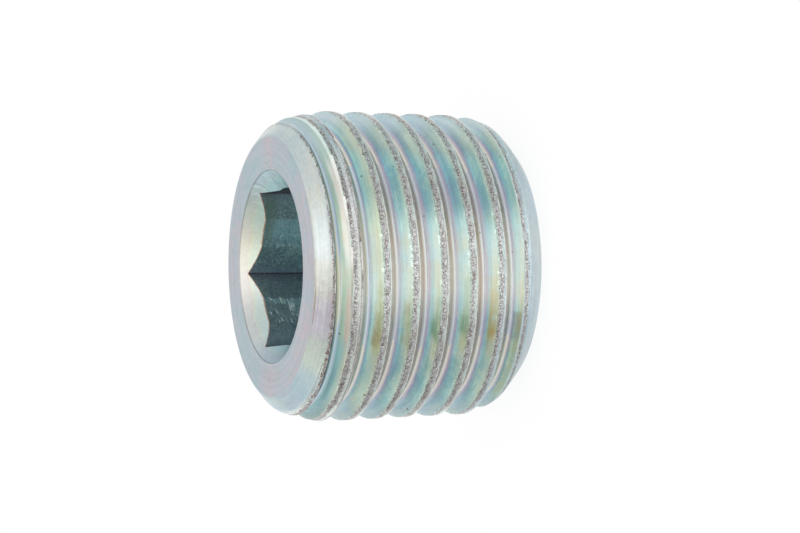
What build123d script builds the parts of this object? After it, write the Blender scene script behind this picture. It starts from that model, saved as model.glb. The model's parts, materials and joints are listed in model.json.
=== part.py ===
from build123d import *
import os
from math import atan, ceil, cos, degrees, radians, sin, tan

# A headless hex socket plug with a taper thread. It is one piece of bar: turned, threaded, drilled
# and broached. It stands on its small plain end at the origin, with its axis on +Z and its socket up.
# Lengths are in millimetres and angles in degrees.

# Body
length = 8.0  # from the small end face to the socket face

# Taper thread, M10 x 1, right-hand
gauge_diameter = 10.0  # major diameter in the gauge plane
gauge_height = 3.5  # gauge plane above the small end face
taper = 1 / 16  # growth of the diameter for each unit of height
pitch = 1.0
flank_angle = 60.0  # between the two flanks of the groove
crest_land = 0.25  # flat left between two turns of the groove, on the major cone
root_radius = 0.144
root_facets = 4  # flats that round the root
groove_drop = 0.715  # groove centre below the socket face, over a corner of the hexagon
tool_clearance = 0.1  # how far the threading tool stands out of the major cone

# Socket end: a steep chamfer, then a shallow lead up to the major cone
socket_face_diameter = 8.54
socket_chamfer_depth = 0.45
socket_chamfer_diameter = 9.6
socket_lead_depth = 1.65

# Small end: the same two steps
small_face_diameter = 7.8
small_chamfer_height = 0.65
small_chamfer_diameter = 9.32
small_lead_height = 1.4

# Socket: countersink, broached hexagon, and the drilled pilot hole that the broach followed
countersink_diameter = 6.38
countersink_angle = 90.0
hex_across_flats = 5.08
hex_depth = 4.2
pilot_diameter = 5.16
chip_room = 0.5  # drilled depth below the hexagon, for the broach's chips
drill_point_angle = 118.0


def major_radius(height):
    """Radius of the thread's major cone at a height above the small end face."""
    return (gauge_diameter + taper * (height - gauge_height)) / 2


# Groove section on a plane through the axis: depth under the major cone, then height
cone_angle = degrees(atan(taper / 2))
half_flank = radians(flank_angle / 2)
mouth_half_width = (pitch - crest_land) / 2
tool_half_width = mouth_half_width + tool_clearance * tan(half_flank)
root_centre_depth = mouth_half_width / tan(half_flank) - root_radius / sin(half_flank)
root_half_sweep = 90 - flank_angle / 2
root_angles = [
    radians(root_half_sweep * (2 * facet / root_facets - 1)) for facet in range(root_facets + 1)
]
groove_section = [
    (-tool_clearance, -tool_half_width),
    *((root_centre_depth + root_radius * cos(a), root_radius * sin(a)) for a in root_angles),
    (-tool_clearance, tool_half_width),
]

# Whole turns of the groove, from clear of the small end to clear of the socket face
groove_height = length - groove_drop
turns_below = ceil((groove_height + tool_half_width) / pitch)
turns_above = ceil((groove_drop + tool_half_width) / pitch)


def groove_turn(start):
    """One turn of the threading tool, a closed solid between parallel helices on a cone."""
    rails = [
        Edge.make_helix(
            pitch / cos(radians(cone_angle)),  # measured along the cone's side
            pitch,
            major_radius(start) - depth,
            center=(0, 0, start + height),
            angle=cone_angle,
        )
        for depth, height in groove_section
    ]
    sides = [
        Face.make_surface_from_curves(rail, next_rail)
        for rail, next_rail in zip(rails, rails[1:] + rails[:1])
    ]
    ends = [Face(Wire.make_polygon([rail @ end for rail in rails])) for end in (0, 1)]
    return Solid(Shell(sides + ends))


with BuildPart() as plug:
    # Turned blank
    with BuildSketch(Plane.YZ):
        with BuildLine():
            lead_top = length - socket_lead_depth
            Polyline(
                (0, 0),
                (small_face_diameter / 2, 0),
                (small_chamfer_diameter / 2, small_chamfer_height),
                (major_radius(small_lead_height), small_lead_height),
                (major_radius(lead_top), lead_top),
                (socket_chamfer_diameter / 2, length - socket_chamfer_depth),
                (socket_face_diameter / 2, length),
                (0, length),
                close=True,
            )
        make_face()
    revolve(axis=Axis.Z)

    # Pilot hole with its drill point, and the countersink
    with BuildSketch(Plane.YZ):
        with BuildLine():
            pilot_radius = pilot_diameter / 2
            shoulder = length - hex_depth - chip_room
            drill_tip = shoulder - pilot_radius / tan(radians(drill_point_angle / 2))
            countersink_radius = countersink_diameter / 2
            countersink_depth = (countersink_radius - pilot_radius) / tan(radians(countersink_angle / 2))
            Polyline(
                (0, drill_tip),
                (pilot_radius, shoulder),
                (pilot_radius, length - countersink_depth),
                (countersink_radius, length),
                (0, length),
                close=True,
            )
        make_face()
    revolve(axis=Axis.Z, mode=Mode.SUBTRACT)

    # Broached hexagon, with two of its corners over the X axis
    with BuildSketch(Plane.XY.offset(length)):
        RegularPolygon(radius=hex_across_flats / 2, side_count=6, major_radius=False)
    extrude(amount=-hex_depth, mode=Mode.SUBTRACT)

    # Thread
    for turn in range(-turns_below, turns_above):
        add(groove_turn(groove_height + turn * pitch), mode=Mode.SUBTRACT)

plug.part.label = "socket_plug"

os.makedirs("parts", exist_ok=True)
export_step(plug.part, "parts/socket_plug.step")
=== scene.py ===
import json
import logging
import math
from dataclasses import dataclass, field
from enum import Enum

import bpy
import numpy as np
from mathutils import Matrix, Vector, noise

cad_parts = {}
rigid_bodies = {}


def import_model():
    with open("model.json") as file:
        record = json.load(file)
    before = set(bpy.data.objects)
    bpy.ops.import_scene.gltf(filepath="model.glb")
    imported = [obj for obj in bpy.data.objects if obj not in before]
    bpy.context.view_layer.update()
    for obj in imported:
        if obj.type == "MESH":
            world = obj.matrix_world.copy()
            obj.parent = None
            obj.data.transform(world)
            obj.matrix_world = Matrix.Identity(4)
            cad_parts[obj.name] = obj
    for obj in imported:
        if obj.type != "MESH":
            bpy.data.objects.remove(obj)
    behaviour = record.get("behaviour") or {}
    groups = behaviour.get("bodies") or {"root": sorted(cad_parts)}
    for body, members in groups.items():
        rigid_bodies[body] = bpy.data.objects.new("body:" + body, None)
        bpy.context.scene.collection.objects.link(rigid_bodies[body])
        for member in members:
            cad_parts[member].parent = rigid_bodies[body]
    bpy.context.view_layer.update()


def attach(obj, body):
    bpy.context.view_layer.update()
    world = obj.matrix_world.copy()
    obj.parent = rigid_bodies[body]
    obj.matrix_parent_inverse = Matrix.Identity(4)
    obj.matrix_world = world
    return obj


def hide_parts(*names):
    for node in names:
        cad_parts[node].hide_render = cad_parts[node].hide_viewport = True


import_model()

log = logging.getLogger("hex_socket_plug")

Colour = tuple[float, float, float, float]
Stop = tuple[float, Colour]
Point = tuple[float, float]

MM = 0.001
WHITE: Colour = (1.0, 1.0, 1.0, 1.0)


class Zone(Enum):
    """Surfaces of the plug that were made or worn in different ways. The value is the material slot."""

    FACE = 0
    CHAMFER = 1
    CREST = 2
    GROOVE = 3
    REAR = 4
    COUNTERSINK = 5
    WALL = 6


class Bench:
    """Selection and mode steps that every piece needs before an operator runs."""

    @staticmethod
    def clear() -> None:
        """Deselects everything, in object mode."""
        if bpy.context.object is not None and bpy.context.object.mode != "OBJECT":
            bpy.ops.object.mode_set(mode="OBJECT")
        bpy.ops.object.select_all(action="DESELECT")

    @staticmethod
    def hold(obj: bpy.types.Object) -> None:
        """Makes one object the only one selected, and the active one.

        Args:
            obj: The object to work on.
        """
        Bench.clear()
        obj.select_set(True)
        bpy.context.view_layer.objects.active = obj

    @staticmethod
    def apply(obj: bpy.types.Object, kind: str, **settings: object) -> None:
        """Adds one modifier with its settings and applies it.

        Args:
            obj: The object to change.
            kind: The modifier's type.
            settings: Values for the modifier's own settings.
        """
        Bench.hold(obj)
        modifier = obj.modifiers.new(kind.lower(), kind)
        for name, value in settings.items():
            setattr(modifier, name, value)
        bpy.ops.object.modifier_apply(modifier=modifier.name)

    @staticmethod
    def line(name: str, points: list[Point]) -> bpy.types.Object:
        """Draws an open section in the XZ plane, one extruded vertex after another.

        Args:
            name: The new object's name.
            points: Radius and height of each point.

        Returns:
            The object, in edit mode, with only its last vertex selected.
        """
        Bench.clear()
        radius, height = points[0]
        bpy.ops.mesh.primitive_plane_add(size=0.01, location=(0, 0, 0))
        obj = bpy.context.object
        obj.name = name
        bpy.ops.object.mode_set(mode="EDIT")
        bpy.ops.mesh.select_all(action="SELECT")
        bpy.ops.mesh.merge(type="CENTER")
        bpy.ops.transform.translate(value=(radius, 0, height))
        for next_radius, next_height in points[1:]:
            step = (next_radius - radius, 0, next_height - height)
            bpy.ops.mesh.extrude_region_move(TRANSFORM_OT_translate={"value": step})
            radius, height = next_radius, next_height
        return obj

    @staticmethod
    def coordinates(obj: bpy.types.Object) -> np.ndarray:
        """Gives a mesh's vertices as an array of points.

        Args:
            obj: The mesh's object.

        Returns:
            One row for each vertex.
        """
        flat = np.empty(len(obj.data.vertices) * 3, np.float64)
        obj.data.vertices.foreach_get("co", flat)
        return flat.reshape(-1, 3)

    @staticmethod
    def move(obj: bpy.types.Object, points: np.ndarray) -> None:
        """Puts a mesh's vertices at these points."""
        obj.data.vertices.foreach_set("co", points.astype(np.float64).ravel())
        obj.data.update()


@dataclass
class TaperThread:
    """A right-hand taper thread. Its rod of full turns is longer than the plug, and the blank trims it.

    Attributes:
        length: From the small end to the socket's face. All lengths are in millimetres.
        gauge_diameter: Major diameter in the gauge plane.
        gauge_height: Height of the gauge plane above the small end.
        taper: Growth of the diameter for each unit of height.
        pitch: Height of one turn.
        crest_land: Flat left between two turns of the groove.
        half_flank: Half of the angle between the groove's flanks.
        root_radius: Radius of the groove's root.
        groove_drop: Middle of the groove below the socket's face, over the X axis.
        steps: Steps in one turn of the rod.
        turns: Turns in the rod.
    """

    length: float = 8.0
    gauge_diameter: float = 10.0
    gauge_height: float = 3.5
    taper: float = 1 / 16
    pitch: float = 1.0
    crest_land: float = 0.25
    half_flank: float = math.radians(30)
    root_radius: float = 0.144
    groove_drop: float = 0.715
    steps: int = 560
    turns: int = 11

    def major(self, height: np.ndarray) -> np.ndarray:
        """Gives the radius of the major cone at a height above the small end."""
        return self.gauge_diameter / 2 + self.taper / 2 * (height - self.gauge_height)

    def half_mouth(self) -> float:
        """Gives half the width of the groove's mouth on the major cone."""
        return (self.pitch - self.crest_land) / 2

    def section(self) -> list[Point]:
        """Gives one pitch of the section, from the middle of one crest land to the next.

        Returns:
            Radius in the gauge plane, and height from the middle of the groove.
        """
        crest = self.gauge_diameter / 2
        mouth = self.half_mouth()
        centre = mouth / math.tan(self.half_flank) - self.root_radius / math.sin(self.half_flank)
        foot = self.root_radius * math.cos(self.half_flank)
        depth = centre + self.root_radius * math.sin(self.half_flank)
        land = [(crest, -self.pitch / 2 + self.crest_land / 2 * part) for part in (0, 0.34, 0.67)]
        socket_side = [
            (crest - depth * part, -mouth + (mouth - foot) * part) for part in (0, 0.07, 0.33, 0.66)
        ]
        root = [
            (
                crest - centre - self.root_radius * math.cos(angle),
                self.root_radius * math.sin(angle),
            )
            for angle in np.linspace(-math.pi / 3, math.pi / 3, 6)
        ]
        small_side = [(crest - depth * part, mouth - (mouth - foot) * part) for part in (0.5, 0.1, 0)]
        far_land = [(crest, self.pitch / 2 - self.crest_land / 2 * part) for part in (0.67, 0.34, 0)]
        return land + socket_side + root + small_side + far_land

    def rod(self) -> bpy.types.Object:
        """Screws the section up the axis, closes both ends and tapers the rod.

        Returns:
            The closed rod, in millimetres.
        """
        start = self.length - self.groove_drop - self.pitch * (self.turns - 2)
        section = [(radius, start + height) for radius, height in self.section()]
        obj = Bench.line("thread_rod", section)
        Bench.apply(
            obj,
            "SCREW",
            axis="Z",
            angle=2 * math.pi,
            screw_offset=self.pitch,
            steps=self.steps,
            render_steps=self.steps,
            iterations=self.turns,
            use_merge_vertices=False,
            use_smooth_shade=False,
        )
        bpy.ops.object.mode_set(mode="EDIT")
        bpy.ops.mesh.select_all(action="SELECT")
        bpy.ops.mesh.remove_doubles(threshold=0.0005)
        self._close_end(obj, low=True)
        self._close_end(obj, low=False)
        bpy.ops.mesh.select_all(action="SELECT")
        bpy.ops.mesh.normals_make_consistent(inside=False)
        bpy.ops.object.mode_set(mode="OBJECT")
        points = Bench.coordinates(obj)
        radius = np.hypot(points[:, 0], points[:, 1])
        grown = radius + self.taper / 2 * (points[:, 2] - self.gauge_height)
        scale = np.where(radius > 1, grown / np.maximum(radius, 1e-9), 1)
        points[:, :2] *= scale[:, None]
        Bench.move(obj, points)
        return obj

    def _close_end(self, obj: bpy.types.Object, low: bool) -> None:
        """Draws the open rim of one end together on the axis, in edit mode.

        Args:
            obj: The rod.
            low: Whether to close the end under the small end face.
        """
        middle = self.length / 2
        bpy.ops.mesh.select_all(action="DESELECT")
        bpy.ops.mesh.select_non_manifold()
        bpy.ops.object.mode_set(mode="OBJECT")
        for vertex in obj.data.vertices:
            if (vertex.co.z < middle) != low:
                vertex.select = False
        for edge in obj.data.edges:
            ends = [obj.data.vertices[i] for i in edge.vertices]
            edge.select = edge.select and all(v.select for v in ends)
        for face in obj.data.polygons:
            face.select = False
        bpy.ops.object.mode_set(mode="EDIT")
        bpy.ops.mesh.extrude_region_move(TRANSFORM_OT_translate={"value": (0, 0, -1 if low else 1)})
        bpy.ops.mesh.merge(type="COLLAPSE")


@dataclass
class TurnedBlank:
    """The turned bar that trims the thread, with its countersink, pilot hole and broached hexagon.

    Attributes:
        thread: The thread that it trims.
        socket_face_radius: Outer radius of the socket's face.
        socket_chamfer: Radius where the socket end's chamfer ends, and its depth there.
        socket_lead_depth: Depth where the lead after it meets the thread's cone.
        small_face_radius: Outer radius of the small end.
        small_chamfer: Radius where the small end's chamfer ends, and its height there.
        small_lead_height: Height where the lead after it meets the thread's cone.
        countersink_radius: Radius of the countersink at the socket's face.
        pilot_radius: Radius of the drilled hole.
        hex_across_flats: Width of the hexagon.
        hex_depth: Depth of the hexagon.
        chip_room: Drilled depth below the hexagon.
        drill_point: Half of the drill's point angle.
        stand_off: How far the bar stands clear of the crests between the leads.
        sides: Steps round the axis.
    """

    thread: TaperThread
    socket_face_radius: float = 4.27
    socket_chamfer: Point = (4.8, 0.45)
    socket_lead_depth: float = 1.65
    small_face_radius: float = 3.9
    small_chamfer: Point = (4.66, 0.65)
    small_lead_height: float = 1.4
    countersink_radius: float = 3.19
    pilot_radius: float = 2.58
    hex_across_flats: float = 5.08
    hex_depth: float = 4.2
    chip_room: float = 0.5
    drill_point: float = math.radians(59)
    stand_off: float = 0.06
    sides: int = 560

    @staticmethod
    def _steps(first: Point, last: Point, count: int) -> list[Point]:
        """Gives the points that part a line into equal steps, without its last point.

        Args:
            first: Where the line starts.
            last: Where it ends.
            count: How many steps.

        Returns:
            The points.
        """
        return [
            (first[0] + (last[0] - first[0]) * i / count, first[1] + (last[1] - first[1]) * i / count)
            for i in range(count)
        ]

    @staticmethod
    def _round(before: Point, corner: Point, after: Point, reach: float, count: int = 4) -> list[Point]:
        """Gives the points that round a corner.

        Args:
            before: A point on the line that comes in.
            corner: The sharp corner.
            after: A point on the line that goes out.
            reach: How far from the corner the rounding starts and ends.
            count: Steps in the rounding.

        Returns:
            The rounded corner's points.
        """
        sharp = np.array(corner)
        start = sharp + reach * (np.array(before) - sharp) / np.linalg.norm(np.array(before) - sharp)
        end = sharp + reach * (np.array(after) - sharp) / np.linalg.norm(np.array(after) - sharp)
        points = []
        for i in range(count + 1):
            t = i / count
            point = (1 - t) ** 2 * start + 2 * t * (1 - t) * sharp + t**2 * end
            points.append((float(point[0]), float(point[1])))
        return points

    def socket_side(self) -> list[Point]:
        """Gives the section from the drill point up to the countersink's rounded rim.

        Returns:
            Radius and height of each point.
        """
        length = self.thread.length
        shoulder = length - self.hex_depth - self.chip_room
        foot = length - (self.countersink_radius - self.pilot_radius)
        rim = (self.countersink_radius, length)
        return [
            (0, shoulder - self.pilot_radius / math.tan(self.drill_point)),
            (self.pilot_radius, shoulder),
            (self.pilot_radius, foot),
            *self._round((self.pilot_radius, foot), rim, (self.socket_face_radius, length), 0.04, 3),
        ]

    def outer_side(self) -> list[Point]:
        """Gives the section from the socket's face, round the outside, to the edge of the small end.

        Returns:
            Radius and height of each point.
        """
        length, major = self.thread.length, self.thread.major
        lead_top = length - self.socket_lead_depth
        chamfer = (self.socket_chamfer[0], length - self.socket_chamfer[1])
        top = (float(major(lead_top)), lead_top)
        low = (float(major(self.small_lead_height)), self.small_lead_height)
        above = (top[0] - 0.02 + self.stand_off, top[1] - 0.35)
        below = (low[0] + 0.02 + self.stand_off, low[1] + 0.35)
        edge = (self.socket_face_radius, length)
        small_edge = (self.small_face_radius, 0)
        brow = self._round((0, length), edge, chamfer, 0.12, 5)
        steep = self._round(edge, chamfer, top, 0.2, 10)
        small_steep = self._round(low, self.small_chamfer, small_edge, 0.2, 6)
        return [
            *brow,
            *self._steps(brow[-1], steep[0], 5)[1:],
            *steep[:-1],
            *self._steps(steep[-1], top, 18),
            top,
            above,
            below,
            *self._steps(low, small_steep[0], 12),
            *small_steep,
            *self._round(self.small_chamfer, small_edge, (0, 0), 0.1),
        ]

    def outline(self) -> list[Point]:
        """Gives the section from the drill point, round the outside, to the middle of the small end."""
        return [*self.socket_side(), *self.outer_side(), (0, 0)]

    def radius_at(self, height: np.ndarray) -> np.ndarray:
        """Gives the radius of the turned plug at a height, over its crests."""
        radii, heights = np.array(self.outer_side()[::-1]).T
        return np.minimum(self.thread.major(height), np.interp(height, heights, radii))

    def turn(self) -> bpy.types.Object:
        """Spins the outline round the axis.

        Returns:
            The closed blank, in millimetres.
        """
        obj = Bench.line("turned_blank", self.outline())
        bpy.ops.mesh.select_all(action="SELECT")
        bpy.ops.mesh.spin(steps=self.sides, angle=2 * math.pi, center=(0, 0, 0), axis=(0, 0, 1))
        bpy.ops.mesh.select_all(action="SELECT")
        bpy.ops.mesh.remove_doubles(threshold=0.0005)
        bpy.ops.mesh.normals_make_consistent(inside=False)
        bpy.ops.object.mode_set(mode="OBJECT")
        return obj

    def broach(self) -> bpy.types.Object:
        """Makes the hexagon's tool, with two corners over the X axis.

        Returns:
            The closed tool, in millimetres.
        """
        Bench.clear()
        corner = self.hex_across_flats / math.sqrt(3)
        top, bottom = self.thread.length + 1, self.thread.length - self.hex_depth
        bpy.ops.mesh.primitive_cylinder_add(
            vertices=6,
            radius=corner,
            depth=top - bottom,
            location=(0, 0, (top + bottom) / 2),
            rotation=(0, 0, math.radians(30)),
        )
        obj = bpy.context.object
        obj.name = "hex_broach"
        bpy.ops.object.transform_apply(location=True, rotation=True, scale=True)
        return obj


def tint(red: int, green: int, blue: int) -> Colour:
    """Gives a colour from its screen values, 0 to 255, as the linear colour that a shader takes.

    Args:
        red: Red on a screen.
        green: Green on a screen.
        blue: Blue on a screen.

    Returns:
        The linear colour, opaque.
    """
    linear = [
        c / 12.92 if c <= 0.04045 else ((c + 0.055) / 1.055) ** 2.4
        for c in (red / 255, green / 255, blue / 255)
    ]
    return (linear[0], linear[1], linear[2], 1.0)


def grey(level: float) -> Colour:
    """Gives an opaque grey of this linear level."""
    return (level, level, level, 1.0)


@dataclass(frozen=True)
class Field:
    """A number, vector or colour that differs from point to point: the output of a node."""

    graph: "Graph"
    socket: bpy.types.NodeSocket

    def __add__(self, other: "Value") -> "Field":
        """Adds a value to it."""
        return self.graph.math("ADD", self, other)

    def __radd__(self, other: float) -> "Field":
        """Adds it to a number."""
        return self.graph.math("ADD", other, self)

    def __sub__(self, other: "Value") -> "Field":
        """Takes a value from it."""
        return self.graph.math("SUBTRACT", self, other)

    def __rsub__(self, other: float) -> "Field":
        """Takes it from a number."""
        return self.graph.math("SUBTRACT", other, self)

    def __mul__(self, other: "Value") -> "Field":
        """Multiplies it by a value."""
        return self.graph.math("MULTIPLY", self, other)

    def __truediv__(self, other: "Value") -> "Field":
        """Divides it by a value."""
        return self.graph.math("DIVIDE", self, other)

    def __abs__(self) -> "Field":
        """Gives its size without its sign."""
        return self.graph.math("ABSOLUTE", self)

    def spread(self, low: "Value", high: "Value", kind: str = "SMOOTHSTEP") -> "Field":
        """Maps it between two limits to 0 to 1, held at the ends."""
        return self.graph.add("ShaderNodeMapRange", self, low, high, clamp=True, interpolation_type=kind)

    def band(self, middle: float, half: float, soft: float) -> "Field":
        """Gives 1 within half of the middle, falling to 0 over the soft width."""
        return abs(self - middle).spread(half + soft, half)


Value = Field | float
Surface = tuple[Value, Value, Value]


@dataclass
class Graph:
    """A node tree with short calls for the nodes that the finishes use."""

    tree: bpy.types.NodeTree

    def node(self, kind: str, **settings: object) -> bpy.types.Node:
        """Adds a node and sets its own properties.

        Args:
            kind: The node's type.
            settings: The node's own properties.

        Returns:
            The node.
        """
        made = self.tree.nodes.new(kind)
        for name, value in settings.items():
            setattr(made, name, value)
        return made

    def feed(self, socket: bpy.types.NodeSocket, value: object) -> None:
        """Links a field to a socket, or sets the socket to a plain value.

        Args:
            socket: The input to feed.
            value: A field, number, vector or colour.
        """
        if isinstance(value, Field):
            self.tree.links.new(value.socket, socket)
        else:
            socket.default_value = value

    def add(self, kind: str, *values: object, output: int | str = 0, **settings: object) -> Field:
        """Adds a node with its inputs.

        Args:
            kind: The node's type.
            values: Its first inputs, in order.
            output: Which of its outputs to give.
            settings: The node's own properties.

        Returns:
            The output.
        """
        made = self.node(kind, **settings)
        for socket, value in zip(made.inputs, values):
            self.feed(socket, value)
        return Field(self, made.outputs[output])

    def math(self, operation: str, *values: Value) -> Field:
        """Adds a Math node with its inputs, in order."""
        return self.add("ShaderNodeMath", *values, operation=operation)

    def mix(self, factor: Value, first: object, second: object, blend: str = "MIX") -> Field:
        """Mixes two colours.

        Args:
            factor: How much of the second colour there is.
            first: The first colour.
            second: The second colour.
            blend: How the two are put together.

        Returns:
            The mixed colour.
        """
        made = self.node("ShaderNodeMix", data_type="RGBA", blend_type=blend, clamp_result=True)
        for socket, value in zip((made.inputs[0], made.inputs[6], made.inputs[7]), (factor, first, second)):
            self.feed(socket, value)
        return Field(self, made.outputs[2])

    def shade(self, colour: object, level: object) -> Field:
        """Multiplies a colour by a level or by another colour.

        Args:
            colour: The colour.
            level: A number for each point, or a colour.

        Returns:
            The darker or tinted colour.
        """
        if isinstance(level, Field) and level.socket.type == "VALUE":
            level = self.add("ShaderNodeCombineColor", level, level, level)
        return self.mix(1.0, colour, level, "MULTIPLY")

    def glaze(self, colour: object, mask: Value, film: object) -> Field:
        """Multiplies a colour by that of a film, where the mask is 1."""
        return self.shade(colour, self.mix(mask, WHITE, film))

    def ramp(self, value: Value, stops: list[Stop]) -> Field:
        """Turns a value from 0 to 1 into a colour.

        Args:
            value: Where in the ramp each point is.
            stops: Positions and their colours, in order.

        Returns:
            The colour.
        """
        made = self.node("ShaderNodeValToRGB")
        elements = made.color_ramp.elements
        elements[0].position, elements[0].color = stops[0]
        elements[1].position, elements[1].color = stops[-1]
        for position, colour in stops[1:-1]:
            elements.new(position).color = colour
        self.feed(made.inputs["Fac"], value)
        return Field(self, made.outputs["Color"])

    def join(self, x: Value, y: Value, z: Value) -> Field:
        """Makes a vector of three parts."""
        return self.add("ShaderNodeCombineXYZ", x, y, z)

    def split(self, vector: Field, kind: str = "ShaderNodeSeparateXYZ") -> list[Field]:
        """Gives the three parts of a vector or colour.

        Args:
            vector: The vector or colour.
            kind: The node that splits it.

        Returns:
            The parts, in order.
        """
        parts = self.node(kind)
        self.feed(parts.inputs[0], vector)
        return [Field(self, socket) for socket in parts.outputs]

    def noise(
        self, vector: Field, scale: float, detail: float = 2.0, roughness: float = 0.5, shift: float = 0.0
    ) -> Field:
        """Adds a noise texture over a vector in millimetres.

        Args:
            vector: Where the noise is read.
            scale: How fine it is.
            detail: Its count of finer layers.
            roughness: How strong those layers are.
            shift: How far the noise is moved, so that no two are alike.

        Returns:
            The noise, round 0.5.
        """
        if shift:
            vector = self.add("ShaderNodeVectorMath", vector, (shift, shift * 1.7, -shift), operation="ADD")
        made = self.node("ShaderNodeTexNoise", noise_dimensions="3D")
        values = {"Vector": vector, "Scale": scale, "Detail": detail, "Roughness": roughness}
        for name, value in values.items():
            self.feed(made.inputs[name], value)
        return Field(self, made.outputs["Fac"])

    def cells(self, vector: Field, scale: float) -> tuple[Field, list[Field]]:
        """Scatters points in space.

        Args:
            vector: Where they are read, in millimetres.
            scale: How close they lie.

        Returns:
            The distance to the nearest point, and that point's three random numbers.
        """
        made = self.node("ShaderNodeTexVoronoi", feature="F1", voronoi_dimensions="3D")
        self.feed(made.inputs["Vector"], vector)
        self.feed(made.inputs["Scale"], scale)
        draws = self.split(Field(self, made.outputs["Color"]), "ShaderNodeSeparateColor")
        return Field(self, made.outputs["Distance"]), draws


class Effect:
    """A node group that several finishes share, built once."""

    name = "effect"
    takes: dict[str, str] = {}
    gives: dict[str, str] = {}

    @classmethod
    def group(cls) -> bpy.types.NodeTree:
        """Gives the group, building it the first time.

        Returns:
            The group's tree.
        """
        found = bpy.data.node_groups.get(cls.name)
        if found is not None:
            return found
        tree = bpy.data.node_groups.new(cls.name, "ShaderNodeTree")
        for side, sockets in (("INPUT", cls.takes), ("OUTPUT", cls.gives)):
            for label, kind in sockets.items():
                tree.interface.new_socket(label, in_out=side, socket_type=f"NodeSocket{kind}")
        graph = Graph(tree)
        inlet = graph.node("NodeGroupInput")
        outlet = graph.node("NodeGroupOutput")
        given = {socket.name: Field(graph, socket) for socket in inlet.outputs if socket.name}
        for label, value in cls.build(graph, given).items():
            graph.feed(outlet.inputs[label], value)
        return tree

    @classmethod
    def build(cls, graph: Graph, given: dict[str, Field]) -> dict[str, Value]:
        """Builds the nodes between the group's inputs and outputs.

        Args:
            graph: The group's tree.
            given: The group's inputs by name.

        Returns:
            A value for each output.
        """
        raise NotImplementedError

    @classmethod
    def use(cls, graph: Graph, **values: Value) -> dict[str, Field]:
        """Places the group in a material.

        Args:
            graph: The material's tree.
            values: The group's inputs by name.

        Returns:
            The group's outputs by name.
        """
        made = graph.node("ShaderNodeGroup", node_tree=cls.group())
        for label, value in values.items():
            graph.feed(made.inputs[label], value)
        return {socket.name: Field(graph, socket) for socket in made.outputs}


class ThreadPlace(Effect):
    """Where a point lies on the plug. Place tells what each output is."""

    name = "thread_place"
    takes = {"Point": "Vector"}
    gives = {
        "Millimetres": "Vector",
        "Stretched": "Vector",
        "Turned": "Vector",
        "Along": "Vector",
        "Height": "Float",
        "Radius": "Float",
        "Around": "Float",
        "Rise": "Float",
        "Phase": "Float",
        "Crest": "Float",
        "Lip": "Float",
        "Wave": "Float",
        "Side": "Float",
    }
    wave_start = -0.0121
    ring_stretch = 8
    thread_stretch = 14

    @classmethod
    def build(cls, graph: Graph, given: dict[str, Field]) -> dict[str, Value]:
        """Builds the group.

        Args:
            graph: The material's tree.
            given: The group's inputs by name.

        Returns:
            A value for each output.
        """
        thread = TaperThread()
        millimetres = graph.node("ShaderNodeVectorMath", operation="SCALE")
        graph.feed(millimetres.inputs[0], given["Point"])
        graph.feed(millimetres.inputs["Scale"], 1 / MM)
        point = Field(graph, millimetres.outputs[0])
        x, y, z = graph.split(point)
        radius = graph.math("SQRT", x * x + y * y)
        around = graph.math("ARCTAN2", y, x) / (2 * math.pi)
        safe = graph.math("MAXIMUM", radius, 0.001)
        across, rise = x / safe, y / safe
        along = z - (thread.length - thread.groove_drop) - around
        phase = along - graph.math("ROUND", along)
        major = (z - thread.gauge_height) * (thread.taper / 2) + thread.gauge_diameter / 2
        cut = (major - radius) * math.tan(thread.half_flank)
        drift = graph.noise(point, 0.22, 2, 0.5, 3.1)
        angle = around + (drift - 0.5) * 0.06 - cls.wave_start
        return {
            "Millimetres": point,
            "Stretched": graph.add("ShaderNodeVectorMath", point, (1, 1, 2.5), operation="MULTIPLY"),
            "Turned": graph.join(across, rise, (z - radius) * cls.ring_stretch),
            "Along": graph.join(across, rise, phase * cls.thread_stretch + z * 2),
            "Height": z,
            "Radius": radius,
            "Around": around,
            "Rise": rise,
            "Phase": phase,
            "Crest": graph.math("SIGN", phase) * (abs(phase) - 0.5),
            "Lip": abs(phase) - thread.half_mouth() + cut,
            # Wave and Side set where the finishes paint highlights and shade round the plug.
            "Wave": graph.math("COSINE", angle * (8 * math.pi)) * 0.5 + 0.5,
            "Side": 0.5 - graph.math("COSINE", angle * (4 * math.pi)) * 0.5,
        }


@dataclass(frozen=True)
class Place:
    """Where a shaded point lies on the plug. Lengths are in millimetres.

    Attributes:
        millimetres: The point.
        stretched: The point in a space where noise looks flattened along the axis.
        turned: A vector over which noise runs in rings.
        along: A vector over which noise runs with the thread.
        height: Height above the small end.
        radius: Distance from the axis.
        around: Turns round the axis from the X axis.
        rise: The Y part of the direction out from the axis.
        phase: Height from the middle of the nearest turn of the groove.
        crest: Height from the middle of the nearest crest land.
        lip: Distance from the nearest mouth of the groove.
        wave: A slow wave that rises and falls four times round the plug; it sets the painted light.
        side: The same, twice round the plug, highest along the Y axis; painted shade follows it.
    """

    millimetres: Field
    stretched: Field
    turned: Field
    along: Field
    height: Field
    radius: Field
    around: Field
    rise: Field
    phase: Field
    crest: Field
    lip: Field
    wave: Field
    side: Field

    @classmethod
    def find(cls, graph: Graph) -> "Place":
        """Finds the place of the point that a material shades.

        Args:
            graph: The material's tree.

        Returns:
            The place.
        """
        point = graph.add("ShaderNodeTexCoord", output="Object")
        found = ThreadPlace.use(graph, Point=point)
        return cls(**{label.lower(): value for label, value in found.items()})


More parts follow.
